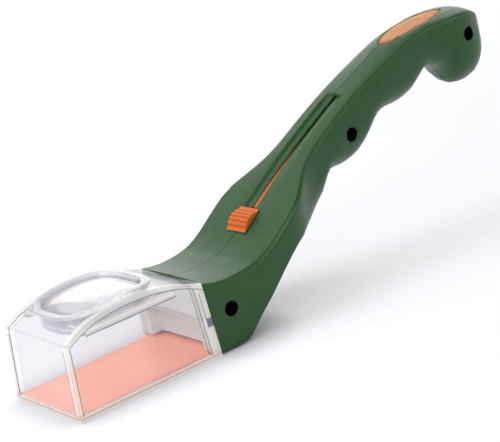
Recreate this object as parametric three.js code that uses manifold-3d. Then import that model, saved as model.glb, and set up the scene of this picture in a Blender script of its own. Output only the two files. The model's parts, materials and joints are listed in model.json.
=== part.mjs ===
// A hand-held bug viewer: a clear catching chamber with a magnifying lens in its roof, on a curved
// two-piece handle. A thumb slider draws a flexible trap door out from under the chamber.
// Millimetres. X runs from the chamber's front wall to the pommel, Y across and Z up, and the
// chamber stands on Z = 0. What lies behind the chamber is placed from its rear rim. The group is
// moved at the end so that the origin is under its middle.

import * as THREE from 'three';
import Module from 'manifold-3d';
import { mergeVertices } from 'three/addons/utils/BufferGeometryUtils.js';

const wasm = await Module();
wasm.setup();

// Overall sizes of the chamber
const chamberLength = 80;
const chamberLowHalf = 27;
const chamberHeight = 35.4;
const frontLean = 1.7;
const rearLean = 2.7;
const sideLean = 1.4;
const chamberTopHalf = chamberLowHalf - sideLean;
// The arched roof: shares of the chamber's length, and heights
const roofLine = [[0.02, 35.3], [0.175, 41.2], [0.4125, 44.3], [0.675, 43.1], [0.966, 35.8]];
const clearWall = 2.6;
const roofWall = 2.4;
const chamberCorner = 1.2;
const innerCorner = 1.2;
const bead = { front: 13.5, rearGap: 18, height: 35.7, radius: 1.2, proud: 0.9 };

// A place along X that is given as a distance behind the chamber's rear rim
const behind = (distance) => chamberLength + distance;

// Base frame and trap door
const frameHeight = 2.3;
const ledgeHeight = 1.4;
const ledgeWidth = 2.7;
const frameRim = 1.3;
const doorThick = 0.6;
const doorInset = 2.1;
const doorHalf = chamberLowHalf - doorInset;
const doorCorner = 3;
const doorTail = 2.4;
const webHalf = 4;

// Bulkhead: it plugs the chamber's rear, with an alcove over the sheet, a snap tab on each side and
// a lug for the front screw. Depths are measured forward from the rear rim
const plugDepth = 5;
const plugWall = 2;
const skirtWall = 1.3;
const alcove = { beside: 0.5, height: 19.4, rise: 1.2, depth: 5.8 };
const lug = { half: 1.5, low: 22.4, high: 27.6, ring: 6.2 };
const latch = { front: 4.7, rear: 1.5, low: 15.5, high: 19.5, proud: 0.2 };

// Lens and the collar that holds it
const lensCentre = 34.5;
const lensHalfLength = 21;
const lensHalfWidth = 19.2;
const lensSquareness = 3;
const lensFlat = 36.6;
const lensCrown = 1.1;
const collarWall = 1.8;
const collarFoot = 33.6;
const collarFlange = 2.6;
const collarRise = 1.5;
const collarLedge = 1.2;

// Handle
const pommelStart = behind(196);
const pommelLength = 20.3;
const pommelEnd = pommelStart + pommelLength;
const shellWall = 2.2;
const camber = 0.8;
const palmCamber = 2.2;
const seam = 0.3;
const heelStart = behind(4);
const mouthInset = 0.4;
const plateDrop = 1.5;
const shoulderWidth = 2;

// The back of the handle is one arc, and the slider runs along it
const trackRadius = 500;
const trackCentre = new THREE.Vector2(behind(339.5), -357);
const trackStart = behind(50.6);
const travel = 72.4;
const slotLength = travel + 2.3;
const slotHalf = 5.85;
const slotDepth = 1.5;
const slitHalf = 1.4;
const troughHalf = 8;
const troughFloor = 1.3;

// Thumb slider and its carriage
const buttonLength = 13.6;
const buttonHalf = 7;
const buttonHigh = 3;
const ribCount = 6;
const ribHeight = 0.9;
const stemLength = 7;
const stemHalf = 0.8;
const carriageLength = 22;
const carriageHalf = 5.5;
const carriageThick = 2;
const finLength = 58;
const finHalf = 1.1;
const finTop = 2;
const finHeight = 2.2;
const finDip = 0.5;
const finDive = 1.9;
const stripThick = 0.6;
const rivetRadius = 0.8;
const rivetHead = 1.5;

// Shell screws, front to rear: where they stand on the handle's side
const screwPlaces = {
  front: [behind(9.5), 19.5],
  middle: [behind(109.5), 71.3],
  rear: [behind(197.4), 98.9],
};
const counterbore = 3.5;
const bossWall = 1.1;
const bossRadius = 3;
const bossSeat = 6.5;
const seatThick = 1.6;
const screwHole = 1.6;
const screwShank = 1.25;
const screwHead = 2.7;
const screwHeadHeight = 1.8;
const screwLength = 16;

// Oval inlay in the palm rest
const inlayFront = behind(149.8);
const inlayRear = behind(194.6);
const inlayHalf = 8.2;
const inlayThick = 1;

// Sheet guides behind the chamber
const rampThick = 1.5;
const guideGap = 0.3;

// Clearances
const gap = 0.3;
const runningGap = 0.35;

const green = 0x3a6b40;
const orange = 0xd9662e;
const clear = 0xeef2f4;

// Solids and meshes

function solidOf(geometry) {
  const bare = geometry.index ? geometry.clone() : geometry;
  bare.deleteAttribute('normal');
  bare.deleteAttribute('uv');
  const merged = mergeVertices(bare, 1e-4);
  return new wasm.Manifold(new wasm.Mesh({
    numProp: 3,
    vertProperties: new Float32Array(merged.attributes.position.array),
    triVerts: new Uint32Array(merged.index.array),
  }));
}

function geometryOf(solid) {
  const { vertProperties, triVerts } = solid.getMesh();
  const geometry = new THREE.BufferGeometry();
  geometry.setAttribute('position', new THREE.BufferAttribute(new Float32Array(vertProperties), 3));
  geometry.setIndex(new THREE.BufferAttribute(new Uint32Array(triVerts), 1));
  geometry.computeVertexNormals();
  return geometry;
}

function meshOf(name, solid, color, roughness, opacity = 1) {
  const geometry = solid.isBufferGeometry ? solid : geometryOf(solid);
  const material = new THREE.MeshStandardMaterial({ color, roughness, metalness: 0 });
  material.transparent = opacity < 1;
  material.opacity = opacity;
  const mesh = new THREE.Mesh(geometry, material);
  mesh.name = name;
  return mesh;
}

// Cuts reach this far past the whole object
const farSide = 60;
const farUp = 140;

function joined(...solids) {
  return solids.reduce((sum, solid) => sum.add(solid));
}

function box(x0, x1, y0, y1, z0, z1) {
  const geometry = new THREE.BoxGeometry(x1 - x0, y1 - y0, z1 - z0);
  geometry.translate((x0 + x1) / 2, (y0 + y1) / 2, (z0 + z1) / 2);
  return solidOf(geometry);
}

// A cylinder along Y from y0 to y1
function rod(radius, [x, z], y0, y1, sides = 24) {
  const geometry = new THREE.CylinderGeometry(radius, radius, y1 - y0, sides);
  geometry.translate(x, (y0 + y1) / 2, z);
  return solidOf(geometry);
}

// An outline in X and Z, drawn out along Y
function alongY(outline, y0, y1) {
  const shape = new THREE.Shape(outline.map(([x, z]) => new THREE.Vector2(x, z)));
  const geometry = new THREE.ExtrudeGeometry(shape, { depth: y1 - y0, bevelEnabled: false });
  geometry.rotateX(Math.PI / 2);
  geometry.translate(0, y1, 0);
  return solidOf(geometry);
}

// An outline in X and Y, drawn out along Z
function alongZ(shape, z0, z1, curveSegments = 12) {
  const settings = { depth: z1 - z0, bevelEnabled: false, curveSegments };
  const geometry = new THREE.ExtrudeGeometry(shape, settings);
  geometry.translate(0, 0, z0);
  return solidOf(geometry);
}

// A closed skin over rings of equal length, capped at both ends
function loft(rings) {
  const count = rings[0].length;
  const points = rings.flat();
  const faces = [];
  for (let i = 0; i + 1 < rings.length; i++) {
    for (let k = 0; k < count; k++) {
      const a = i * count + k;
      const b = i * count + (k + 1) % count;
      faces.push(a, b, b + count, a, b + count, a + count);
    }
  }
  const capOf = (ring) => {
    const axis = new THREE.Vector3();
    ring.forEach((p, k) => axis.add(p.clone().cross(ring[(k + 1) % count])));
    const across = Math.abs(axis.x) > Math.abs(axis.z) ? 'y' : 'x';
    const up = Math.abs(axis.x) > Math.abs(axis.z) ? 'z' : 'y';
    const flat = ring.map((p) => new THREE.Vector2(p[across], p[up]));
    const turned = THREE.ShapeUtils.isClockWise(flat);
    const triangles = THREE.ShapeUtils.triangulateShape(turned ? flat.slice().reverse() : flat, []);
    return triangles.map((t) => (turned ? t.map((k) => count - 1 - k).reverse() : t));
  };
  const last = (rings.length - 1) * count;
  const signed = (ring, triangle) => {
    const [a, b, c] = triangle.map((k) => ring[k]);
    const normal = b.clone().sub(a).cross(c.clone().sub(a));
    return normal.dot(rings.at(-1)[0].clone().sub(rings[0][0]));
  };
  const outward = (ring, triangles, way) => {
    const sum = triangles.reduce((total, triangle) => total + signed(ring, triangle), 0);
    return sum * way > 0 ? triangles : triangles.map(([a, b, c]) => [a, c, b]);
  };
  const startCap = outward(rings[0], capOf(rings[0]), -1);
  const endCap = outward(rings.at(-1), capOf(rings.at(-1)), 1);
  const corner = points[faces[0]].clone();
  const [, b, c] = [0, 1, 2].map((k) => points[faces[k]]);
  const middle = rings[0].reduce((sum, p) => sum.add(p), new THREE.Vector3()).divideScalar(count);
  const side = b.clone().sub(corner).cross(c.clone().sub(corner));
  const inward = side.dot(corner.sub(middle)) < 0;
  if (inward) {
    for (let i = 0; i < faces.length; i += 3) {
      [faces[i + 1], faces[i + 2]] = [faces[i + 2], faces[i + 1]];
    }
  }
  startCap.forEach((triangle) => faces.push(...triangle));
  endCap.forEach((triangle) => faces.push(...triangle.map((k) => k + last)));
  const geometry = new THREE.BufferGeometry().setFromPoints(points);
  geometry.setIndex(faces);
  return solidOf(geometry);
}

// A smooth line through a few points, as a height or a width at x. Its places start at origin
function lineThrough(points, origin = 0) {
  const curve = new THREE.SplineCurve(points.map(([x, value]) => new THREE.Vector2(origin + x, value)));
  const samples = curve.getPoints(points.length * 10);
  return (x) => {
    const next = samples.findIndex((p) => p.x >= x);
    if (next === 0) return samples[0].y;
    if (next < 0) return samples.at(-1).y;
    const [a, b] = [samples[next - 1], samples[next]];
    return THREE.MathUtils.lerp(a.y, b.y, (x - a.x) / (b.x - a.x));
  };
}

// The slider's track: s runs along the arc from the button's rear edge, depth goes in from it

function track(s, depth) {
  const start = Math.acos((trackStart - trackCentre.x) / trackRadius);
  const angle = start - s / trackRadius;
  const radius = trackRadius - depth;
  return [trackCentre.x + radius * Math.cos(angle), trackCentre.y + radius * Math.sin(angle)];
}

function trackHeight(x) {
  return trackCentre.y + Math.sqrt(trackRadius ** 2 - (x - trackCentre.x) ** 2);
}

// A bar that follows the track: depths and half-width may change along it
function trackBar(s0, s1, upper, lower, half, step = 7) {
  const count = Math.max(1, Math.ceil((s1 - s0) / step));
  const at = (value, s) => (typeof value === 'function' ? value(s) : value);
  const rings = Array.from({ length: count + 1 }, (_, i) => {
    const s = s0 + (s1 - s0) * i / count;
    const [xu, zu] = track(s, at(upper, s));
    const [xl, zl] = track(s, at(lower, s));
    const y = at(half, s);
    return [
      new THREE.Vector3(xu, -y, zu), new THREE.Vector3(xu, y, zu),
      new THREE.Vector3(xl, y, zl), new THREE.Vector3(xl, -y, zl),
    ];
  });
  return loft(rings);
}

// Chamber

const roofHeight = lineThrough(roofLine.map(([share, height]) => [share * chamberLength, height]));
const rearAt = (z) => chamberLength - rearLean * z / chamberHeight;
const sideAt = (z) => THREE.MathUtils.lerp(chamberLowHalf, chamberTopHalf, z / chamberHeight);

// The tapered box of the chamber, drawn in by inset at the sides and between two X offsets
function taperedBox(z0, z1, inset, front, rear, corner) {
  const ring = (z) => {
    const half = sideAt(z) - inset;
    const x0 = frontLean * z / chamberHeight + front;
    const x1 = rearAt(z) - rear;
    const shape = new THREE.Shape();
    shape.absarc(x1 - corner, half - corner, corner, 0, Math.PI / 2);
    shape.absarc(x0 + corner, half - corner, corner, Math.PI / 2, Math.PI);
    shape.absarc(x0 + corner, corner - half, corner, Math.PI, 1.5 * Math.PI);
    shape.absarc(x1 - corner, corner - half, corner, 1.5 * Math.PI, 2 * Math.PI);
    return shape.getPoints(4).slice(0, -1).map((p) => new THREE.Vector3(p.x, p.y, z));
  };
  return loft([ring(z0), ring(z1)]);
}

// Everything under the roof line, from z0 up to drop below the roof
function underRoof(z0, drop) {
  const margin = 20;
  const steps = 24;
  const outline = [[-margin, z0], [chamberLength + margin, z0]];
  for (let i = 0; i <= steps; i++) {
    const x = chamberLength + 2 - (chamberLength + 4) * i / steps;
    outline.push([x + (i === 0 ? margin - 2 : i === steps ? 2 - margin : 0), roofHeight(x) - drop]);
  }
  return alongY(outline, -farSide, farSide);
}

function ellipse(centre, halfLength, halfWidth) {
  return new THREE.Shape().absellipse(centre, 0, halfLength, halfWidth, 0, 2 * Math.PI);
}

// A rounded bead along the outside of a side wall, where the straight wall meets the arched roof
function sideBead(side) {
  const { front, rearGap, height, radius, proud } = bead;
  const rear = chamberLength - rearGap;
  const profile = [
    [0, front], [0.6 * radius, front + 0.25 * radius], [radius, front + radius],
    [radius, rear - radius], [0.6 * radius, rear - 0.25 * radius], [0, rear],
  ];
  const geometry = new THREE.LatheGeometry(profile.map(([r, x]) => new THREE.Vector2(r, x)), 12);
  geometry.rotateZ(-Math.PI / 2);
  geometry.translate(0, side * (chamberTopHalf + proud - radius), height);
  return solidOf(geometry);
}

const wallFoot = frameHeight + gap;

// A block across the chamber between two depths forward of the leaning rear rim
function rearSlab(deep, shallow, z0, z1) {
  return alongY([
    [rearAt(z0) - deep, z0], [rearAt(z0) - shallow, z0],
    [rearAt(z1) - shallow, z1], [rearAt(z1) - deep, z1],
  ], -farSide, farSide);
}

// What lies past the chamber's side walls at the latch: grow widens it all round
function latchBlock(side, inner, outer, grow) {
  const [x0, x1] = [behind(-latch.front) - grow, behind(-latch.rear) + grow];
  const [y0, y1] = side < 0 ? [-outer, -inner] : [inner, outer];
  return box(x0, x1, y0, y1, latch.low - grow, latch.high + grow);
}

function chamberBody() {
  const outer = taperedBox(wallFoot, farUp, 0, 0, 0, chamberCorner).intersect(underRoof(wallFoot, 0));
  const inside = taperedBox(wallFoot - 1, farUp, clearWall, clearWall, -10, innerCorner)
    .intersect(underRoof(wallFoot - 1, roofWall));
  const holeOutline = lensOutline(48, gap + collarWall + gap).map(({ x, y }) => new THREE.Vector2(x, y));
  const lensHole = alongZ(new THREE.Shape(holeOutline), chamberHeight - 5, farUp);
  const windows = [-1, 1].map((side) => latchBlock(side, chamberTopHalf - clearWall - 1, farSide, gap));
  const shell = joined(outer, sideBead(-1), sideBead(1)).subtract(inside).subtract(lensHole);
  return shell.subtract(joined(...windows));
}

function chamberBaseFrame() {
  const outer = taperedBox(0, frameHeight, 0, 0, 0, chamberCorner);
  const grooveHalf = doorHalf + gap;
  const groove = box(frameRim, chamberLength + 5, -grooveHalf, grooveHalf, ledgeHeight, 10);
  const opening = new THREE.Shape();
  const half = grooveHalf - ledgeWidth;
  const [x0, x1] = [frameRim + ledgeWidth, chamberLength - plugDepth];
  opening.moveTo(x0, -half).lineTo(x1, -half).lineTo(x1, half).lineTo(x0, half);
  return outer.subtract(groove).subtract(alongZ(opening, -5, 10));
}

// The alcove leaves a space beside it, inside the skirt
const alcoveHalf = sideAt(alcove.height) - clearWall - gap - 2 * skirtWall - alcove.beside;

// An arched block along X, flat at its foot
function archAlongX(half, height, x0, x1) {
  const arch = new THREE.Shape();
  arch.moveTo(-half, 0).lineTo(half, 0).lineTo(half, height - alcove.rise);
  arch.quadraticCurveTo(0, height + alcove.rise, -half, height - alcove.rise);
  const geometry = new THREE.ExtrudeGeometry(arch, { depth: x1 - x0, bevelEnabled: false });
  geometry.rotateX(Math.PI / 2);
  geometry.rotateZ(Math.PI / 2);
  geometry.translate(x0, 0, 0);
  return solidOf(geometry);
}

function rearBulkhead() {
  const foot = wallFoot + 1;
  const plugIn = (inset) => taperedBox(foot, farUp, clearWall + inset, 0, -10, innerCorner)
    .intersect(underRoof(foot, roofWall + inset));
  const skirt = plugIn(gap).intersect(rearSlab(plugDepth, gap, 0, farUp));
  const hollow = plugIn(gap + skirtWall).intersect(rearSlab(plugDepth - plugWall, -1, 0, farUp));
  const [x0, x1] = [rearAt(foot) - plugDepth, rearAt(foot) - plugDepth + alcove.depth];
  const tub = archAlongX(alcoveHalf + skirtWall, alcove.height + skirtWall, x0, x1 + skirtWall)
    .intersect(rearSlab(plugDepth, -farSide, foot, farUp));
  const room = archAlongX(alcoveHalf, alcove.height, x0 - 10, x1);
  const [screwX, screwZ] = screwPlaces.front;
  const arm = box(rearAt(lug.low) - plugDepth + 1, screwX, -lug.half, lug.half, lug.low, lug.high);
  const ring = rod(lug.ring, [screwX, screwZ], -lug.half, lug.half);
  const eye = rod(bossRadius + gap, [screwX, screwZ], -lug.half - 1, lug.half + 1);
  const [tabRoot, tabEnd] = [alcoveHalf + skirtWall, chamberTopHalf + latch.proud];
  const tabs = [-1, 1].map((side) => latchBlock(side, tabRoot, tabEnd, 0));
  const plug = joined(skirt.subtract(hollow), tub).subtract(room);
  return joined(plug, arm, ring, ...tabs).subtract(eye);
}

// The lens is a rounded square, a superellipse. Points on it, moved outwards
function lensOutline(count, out) {
  const share = (value, power) => Math.sign(value) * Math.abs(value) ** power;
  return Array.from({ length: count }, (_, i) => {
    const angle = 2 * Math.PI * i / count;
    const u = share(Math.cos(angle), 2 / lensSquareness);
    const v = share(Math.sin(angle), 2 / lensSquareness);
    const normal = new THREE.Vector2(
      share(u, lensSquareness - 1) / lensHalfLength,
      share(v, lensSquareness - 1) / lensHalfWidth,
    ).normalize();
    return new THREE.Vector2(
      lensCentre + lensHalfLength * u + normal.x * out,
      lensHalfWidth * v + normal.y * out,
    );
  });
}

// A ring round the lens: its section is given as [offset outwards, height] at each point
function lensRing(sectionAt, count = 32) {
  const line = lensOutline(count, 0);
  const away = lensOutline(count, 1);
  const rings = line.map(({ x, y }, i) => {
    const normal = away[i].clone().sub(line[i]);
    return sectionAt(x).map(([out, z]) => new THREE.Vector3(x + normal.x * out, y + normal.y * out, z));
  });
  const size = rings[0].length;
  const faces = [];
  for (let i = 0; i < count; i++) {
    for (let k = 0; k < size; k++) {
      const [a, b] = [i * size + k, i * size + (k + 1) % size];
      const [c, d] = [((i + 1) % count) * size + k, ((i + 1) % count) * size + (k + 1) % size];
      faces.push(a, d, b, a, c, d);
    }
  }
  const geometry = new THREE.BufferGeometry().setFromPoints(rings.flat());
  geometry.setIndex(faces);
  return solidOf(geometry);
}

function lensCollar() {
  const inner = gap;
  const skirt = gap + collarWall;
  const flange = skirt + collarFlange;
  return lensRing((x) => {
    const roof = roofHeight(x);
    const shelf = lensFlat - gap;
    return [
      [inner - collarLedge, collarFoot], [skirt, collarFoot], [skirt, roof + gap],
      [flange, roof + gap], [flange + 0.1, roof + collarRise * 0.6],
      [flange - 0.7, roof + collarRise], [inner + 0.7, roof + collarRise],
      [inner, roof + collarRise * 0.6], [inner, shelf], [inner - collarLedge, shelf],
    ];
  });
}

function magnifierLens() {
  const rows = 7;
  const columns = 32;
  const centre = new THREE.Vector3(lensCentre, 0, roofHeight(lensCentre) + lensCrown);
  const points = [centre];
  const faces = [];
  const outline = lensOutline(columns, 0);
  for (let j = 1; j <= rows; j++) {
    const share = Math.sin(Math.PI / 2 * j / rows);
    outline.forEach((p) => {
      const x = THREE.MathUtils.lerp(lensCentre, p.x, share);
      const edge = roofHeight(x) - lensCrown;
      const dome = 2 * lensCrown * (1 - share ** 2);
      points.push(new THREE.Vector3(x, p.y * share, edge + dome));
    });
  }
  const at = (j, i) => 1 + (j - 1) * columns + (i % columns);
  for (let i = 0; i < columns; i++) {
    faces.push(0, at(1, i), at(1, i + 1));
    for (let j = 1; j < rows; j++) {
      faces.push(at(j, i), at(j + 1, i), at(j + 1, i + 1), at(j, i), at(j + 1, i + 1), at(j, i + 1));
    }
  }
  const rim = points.slice(at(rows, 0), at(rows, 0) + columns);
  const foot = points.length;
  rim.forEach((p) => points.push(new THREE.Vector3(p.x, p.y, lensFlat)));
  points.push(new THREE.Vector3(lensCentre, 0, lensFlat));
  for (let i = 0; i < columns; i++) {
    const [a, b] = [foot + i, foot + (i + 1) % columns];
    faces.push(at(rows, i), a, b, at(rows, i), b, at(rows, i + 1), a, points.length - 1, b);
  }
  const geometry = new THREE.BufferGeometry().setFromPoints(points);
  geometry.setIndex(faces);
  return solidOf(geometry);
}

// Handle

const arcPoints = Array.from({ length: 10 }, (_, i) => 38 + 12 * i).map((x) => [x, trackHeight(behind(x))]);
const topLine = lineThrough([
  [-10, 39.6], [-4, 37.1], [2, 35.5], [8, 34.6], [14, 34.6], [20, 35.25], [26, 36.3], [32, 38.6],
  ...arcPoints,
  [158, 108.3], [170, 110.9], [180, 112], [190, 112.5], [198, 112.4],
], chamberLength);
const lowLine = lineThrough([
  [-10, 0], [-2, 0], [4, 0], [14, 0.2], [18.5, 1.8], [25, 8], [32.6, 14.3], [40.3, 20.7],
  [48, 26.6], [55, 30.8], [65, 32.4], [73, 33.8], [80, 38.2], [86.5, 43], [90.5, 49],
  [95, 54.2], [101, 55.4], [108.5, 55.5], [116, 57.5], [123, 62.4], [128.5, 68.8], [134, 73],
  [140, 74.8], [147, 74.9], [154, 75.9], [159, 78], [164, 81.8], [168, 85.4], [171.5, 86.8],
  [176.5, 86], [182.5, 83.9], [187, 80], [190, 75.6], [193.5, 73], [199, 72.6],
], chamberLength);

// The heel is as wide as the chamber: its half-widths are given from the mouth's
const mouthHalf = chamberLowHalf - mouthInset;
const fromMouth = (points) => points.map(([x, more]) => [x, mouthHalf + more]);
const plateLine = lineThrough([
  ...fromMouth([[-10, -2.8], [-3, -2.4], [4, -1.4], [16, -0.8], [38, 0.3], [52, 0.2], [58, -0.5]]),
  [62.5, 23.6], [68, 19.8], [74, 16.1], [80, 14], [88, 12.7], [102, 12.3], [120, 11.9], [148, 12],
  [172, 11.9], [177, 12.5], [183, 13.9], [190, 14.4], [198, 14.3],
], chamberLength);
const waistLine = lineThrough([
  ...fromMouth([[-10, 0], [-2, 0], [20, 0.7], [40, 1.2], [53, 1], [59, -0.2]]),
  [64, 23.9], [70, 20.2], [76, 17.4], [84, 15.4], [96, 14.5], [120, 14.1], [168, 14.1],
  [182, 15.6], [198, 16.2],
], chamberLength);

const smooth = THREE.MathUtils.smoothstep;
const slopeOf = (line, x) => (line(x + 0.5) - line(x - 0.5));

// Past the start of the pommel's end the outline closes along ellipses
const pommelLow = { x: pommelStart + 3, z: 91 };
const pommelTop = { x: pommelStart + 2, z: pommelLow.z + 5 };

function endOf(centre, line, x) {
  if (x <= centre.x) return line(x);
  const share = (x - centre.x) / (pommelEnd - centre.x);
  return centre.z + (line(centre.x) - centre.z) * Math.sqrt(Math.max(0.004, 1 - share ** 2));
}

function sizesAt(x) {
  const share = Math.max(0, (x - pommelStart) / pommelLength);
  const narrow = Math.sqrt(Math.max(0.05, 1 - share ** 2));
  const top = endOf(pommelTop, topLine, x);
  const low = endOf(pommelLow, lowLine, x);
  const grip = smooth(x, behind(28), behind(86));
  const palm = smooth(x, behind(112), behind(152));
  const waist = waistLine(x) * narrow;
  const height = top - low;
  return {
    top,
    low,
    plate: plateLine(x) * narrow,
    waist,
    edge: Math.max(0.14, smooth(x, behind(-1), behind(19)) * (1 - smooth(x, pommelStart - 2, pommelEnd - 5))),
    cornerWidth: THREE.MathUtils.lerp(3, waist - 0.8, grip),
    cornerHeight: THREE.MathUtils.lerp(3, 0.47 * height, grip),
    crown: Math.min(THREE.MathUtils.lerp(camber, palmCamber, palm), height / 10),
  };
}

// The lower corner of a section, from the waist round to the flat underside
function cornerPoints(waist, low, width, height, steps) {
  return Array.from({ length: steps + 1 }, (_, i) => {
    const angle = Math.PI / 2 * i / steps;
    return [waist - width + width * Math.cos(angle), low + height - height * Math.sin(angle)];
  });
}

function ringOf(x, half) {
  const left = half.slice(1, -1).reverse().map(([y, z]) => new THREE.Vector3(x, -y, z));
  return [...half.map(([y, z]) => new THREE.Vector3(x, y, z)), ...left];
}

function outerRing(x) {
  const s = sizesAt(x);
  const e = s.edge;
  const rim = s.top - s.crown;
  const out = shoulderWidth * e;
  const down = plateDrop * e;
  const shoulder = s.plate + out;
  const footHeight = s.low + s.cornerHeight;
  const shoulderFoot = rim - 1.8 * down;
  const belly = [
    THREE.MathUtils.lerp(shoulder, s.waist, 0.62), THREE.MathUtils.lerp(shoulderFoot, footHeight, 0.45),
  ];
  return ringOf(x, [
    [0, s.top], [0.5 * s.plate, s.top - 0.25 * s.crown], [0.82 * s.plate, s.top - 0.67 * s.crown],
    [s.plate - 0.3 * out, rim + 0.05 * down], [s.plate, rim - 0.3 * down],
    [s.plate + 0.04 * out, rim - 0.8 * down], [s.plate + 0.26 * out, rim - down],
    [s.plate + 0.6 * out, rim - 0.78 * down], [s.plate + 0.88 * out, rim - 1.1 * down],
    [shoulder, shoulderFoot], belly,
    ...cornerPoints(s.waist, s.low, s.cornerWidth, s.cornerHeight, 5),
    [0, s.low],
  ]);
}

function innerRing(x, wall) {
  const s = sizesAt(x);
  const top = s.top - wall * Math.hypot(1, slopeOf(topLine, x)) - 0.4;
  const low = s.low + wall * Math.hypot(1, slopeOf(lowLine, x));
  const plate = s.plate - wall * 0.6;
  const waist = Math.min(s.waist, s.plate + shoulderWidth * s.edge) - wall;
  const height = Math.min(s.cornerHeight, 0.42 * (top - low));
  const width = Math.min(s.cornerWidth - 0.5 * wall, waist - 0.5);
  return ringOf(x, [
    [0, top], [0.7 * plate, top - 0.4 * s.crown], [plate - 1.2, top - s.crown],
    [waist, top - s.crown - plateDrop * s.edge - 1.2],
    ...cornerPoints(waist, low, width, height, 4),
    [0, low],
  ]);
}

function stations(from, to, step) {
  const count = Math.ceil((to - from) / step);
  return Array.from({ length: count }, (_, i) => from + (to - from) * i / count);
}

// Stretches of the handle, and how close their sections stand: closer at the heel and the grooves
const stretches = [
  [-8, 16, 6], [16, 28, 2.4], [28, 82, 5.4], [82, 102, 2.5], [102, 121, 4.8], [121, 136, 2.6],
  [136, 158, 5.5], [158, 196, 2.3],
];

function handleBlock() {
  const endings = [0, 0.22, 0.42, 0.58, 0.72, 0.83, 0.915, 0.97, 1];
  const tail = endings.map((share) => pommelStart + pommelLength * share);
  const body = stretches.flatMap(([from, to, step]) => stations(behind(from), behind(to), step));
  return loft([...body, ...tail].map(outerRing));
}

function handleCavity(wall) {
  const rear = pommelEnd - 3 * shellWall;
  return loft([...stations(behind(-12), rear, 8), rear].map((x) => innerRing(x, wall)));
}

// Everything behind the plane of the chamber's rear rim
function behindMouth(clearance) {
  const [low, high, away] = [-10, farUp, pommelEnd + 10];
  return alongY([
    [rearAt(low) + clearance, low], [away, low], [away, high], [rearAt(high) + clearance, high],
  ], -farSide, farSide);
}

const slotFloor = slotDepth + troughFloor;
const troughStart = -buttonLength - 4;

function inlayBand(high, low, extra) {
  const rings = stations(inlayFront - 4, inlayRear + 4, 4).map((x) => {
    const s = sizesAt(x);
    const across = [-1, -0.5, 0, 0.5, 1].map((share) => share * (inlayHalf + 3));
    const surface = (y) => s.top - s.crown * (y / s.plate) ** 2;
    return [
      ...across.map((y) => new THREE.Vector3(x, y, surface(y) + high)),
      ...across.reverse().map((y) => new THREE.Vector3(x, y, surface(y) - low)),
    ];
  });
  const centre = (inlayFront + inlayRear) / 2;
  const oval = ellipse(centre, (inlayRear - inlayFront) / 2 + extra, inlayHalf + extra);
  return loft(rings).intersect(alongZ(oval, 0, farUp, 16));
}

const ribPlaces = [70, 136, 178].map(behind);

function shell(side) {
  const [y0, y1] = side < 0 ? [-farSide, -seam / 2] : [seam / 2, farSide];
  const half = box(0, pommelEnd + 10, y0, y1, -10, farUp);
  const cavity = handleCavity(shellWall);
  const block = handleBlock();
  const trough = trackBar(troughStart, slotLength + 4, 1, slotFloor, troughHalf);
  const moving = trackBar(troughStart - 30, slotLength + 60, -1, slotFloor + 7.4, carriageHalf + 1);
  let bosses = [];
  let holes = [];
  Object.values(screwPlaces).forEach((place) => {
    if (side < 0) {
      bosses.push(rod(counterbore + bossWall, place, -farSide, -bossSeat));
      bosses.push(rod(bossRadius, place, -bossSeat - 1, -seam / 2));
      holes.push(rod(counterbore, place, -farSide, -bossSeat - seatThick));
      holes.push(rod(screwHole, place, -farSide, 1, 12));
    } else {
      bosses.push(rod(bossRadius, place, seam / 2, farSide));
      holes.push(rod(screwHole, place, -1, screwLength - bossSeat - seatThick + 1, 12));
    }
  });
  const ribs = ribPlaces.map((x) => box(x - 0.7, x + 0.7, -farSide, farSide, 0, farUp).subtract(moving));
  const inner = joined(trough, ...bosses, ...ribs).intersect(block);
  const skin = block.subtract(cavity);
  const slot = trackBar(-buttonLength + 1.6, slotLength, -6, slotDepth, slotHalf);
  const slit = trackBar(-buttonLength + 2, slotLength, -6, slotFloor + 1, slitHalf);
  const finEnd = carriageEnd + finLength + travel + 1;
  const finRun = trackBar(slotLength - 1, finEnd, (s) => finDepth(s - travel) - runningGap, 6, slitHalf);
  const channel = box(0, heelStart + 9, -doorHalf - gap, doorHalf + gap, ledgeHeight - 0.1, wallFoot + 0.6);
  let solid = joined(skin, inner).intersect(half).intersect(behindMouth(gap));
  [slot, slit, finRun, channel, inlayBand(5, inlayThick + gap, gap), ...holes].forEach((cut) => {
    solid = solid.subtract(cut);
  });
  return solid;
}

function gripInlay() {
  return inlayBand(-0.1, inlayThick, 0);
}

// Screw: a pan head with a cross recess on a plain shank, its head's underside at the origin
function shellScrew() {
  const profile = [
    [0, -screwHeadHeight], [screwHead * 0.7, -screwHeadHeight], [screwHead, -screwHeadHeight * 0.55],
    [screwHead, 0], [screwShank, 0], [screwShank, screwLength - 1.5], [0.2, screwLength], [0, screwLength],
  ];
  const geometry = new THREE.LatheGeometry(profile.map(([r, y]) => new THREE.Vector2(r, y)), 12);
  const recess = screwHead * 0.6;
  const top = -screwHeadHeight;
  const cross = box(-recess, recess, top - 1, top + 0.9, -0.35, 0.35)
    .add(box(-0.35, 0.35, top - 1, top + 0.9, -recess, recess));
  return solidOf(geometry).subtract(cross);
}

// Thumb slider: a ribbed pad with a stem that goes through the slit and snaps under the carriage
const carriageTop = slotFloor + gap;
const carriageFoot = carriageTop + carriageThick;
const stripTop = carriageFoot + 0.2;
const stripFoot = stripTop + stripThick;
const stemMiddle = -buttonLength / 2 - 0.5;
const carriageStart = stemMiddle - carriageLength / 2 - 0.5;
const carriageEnd = carriageStart + carriageLength;
const rivetPlaces = { front: carriageStart + 3, rear: carriageEnd - 3 };

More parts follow.
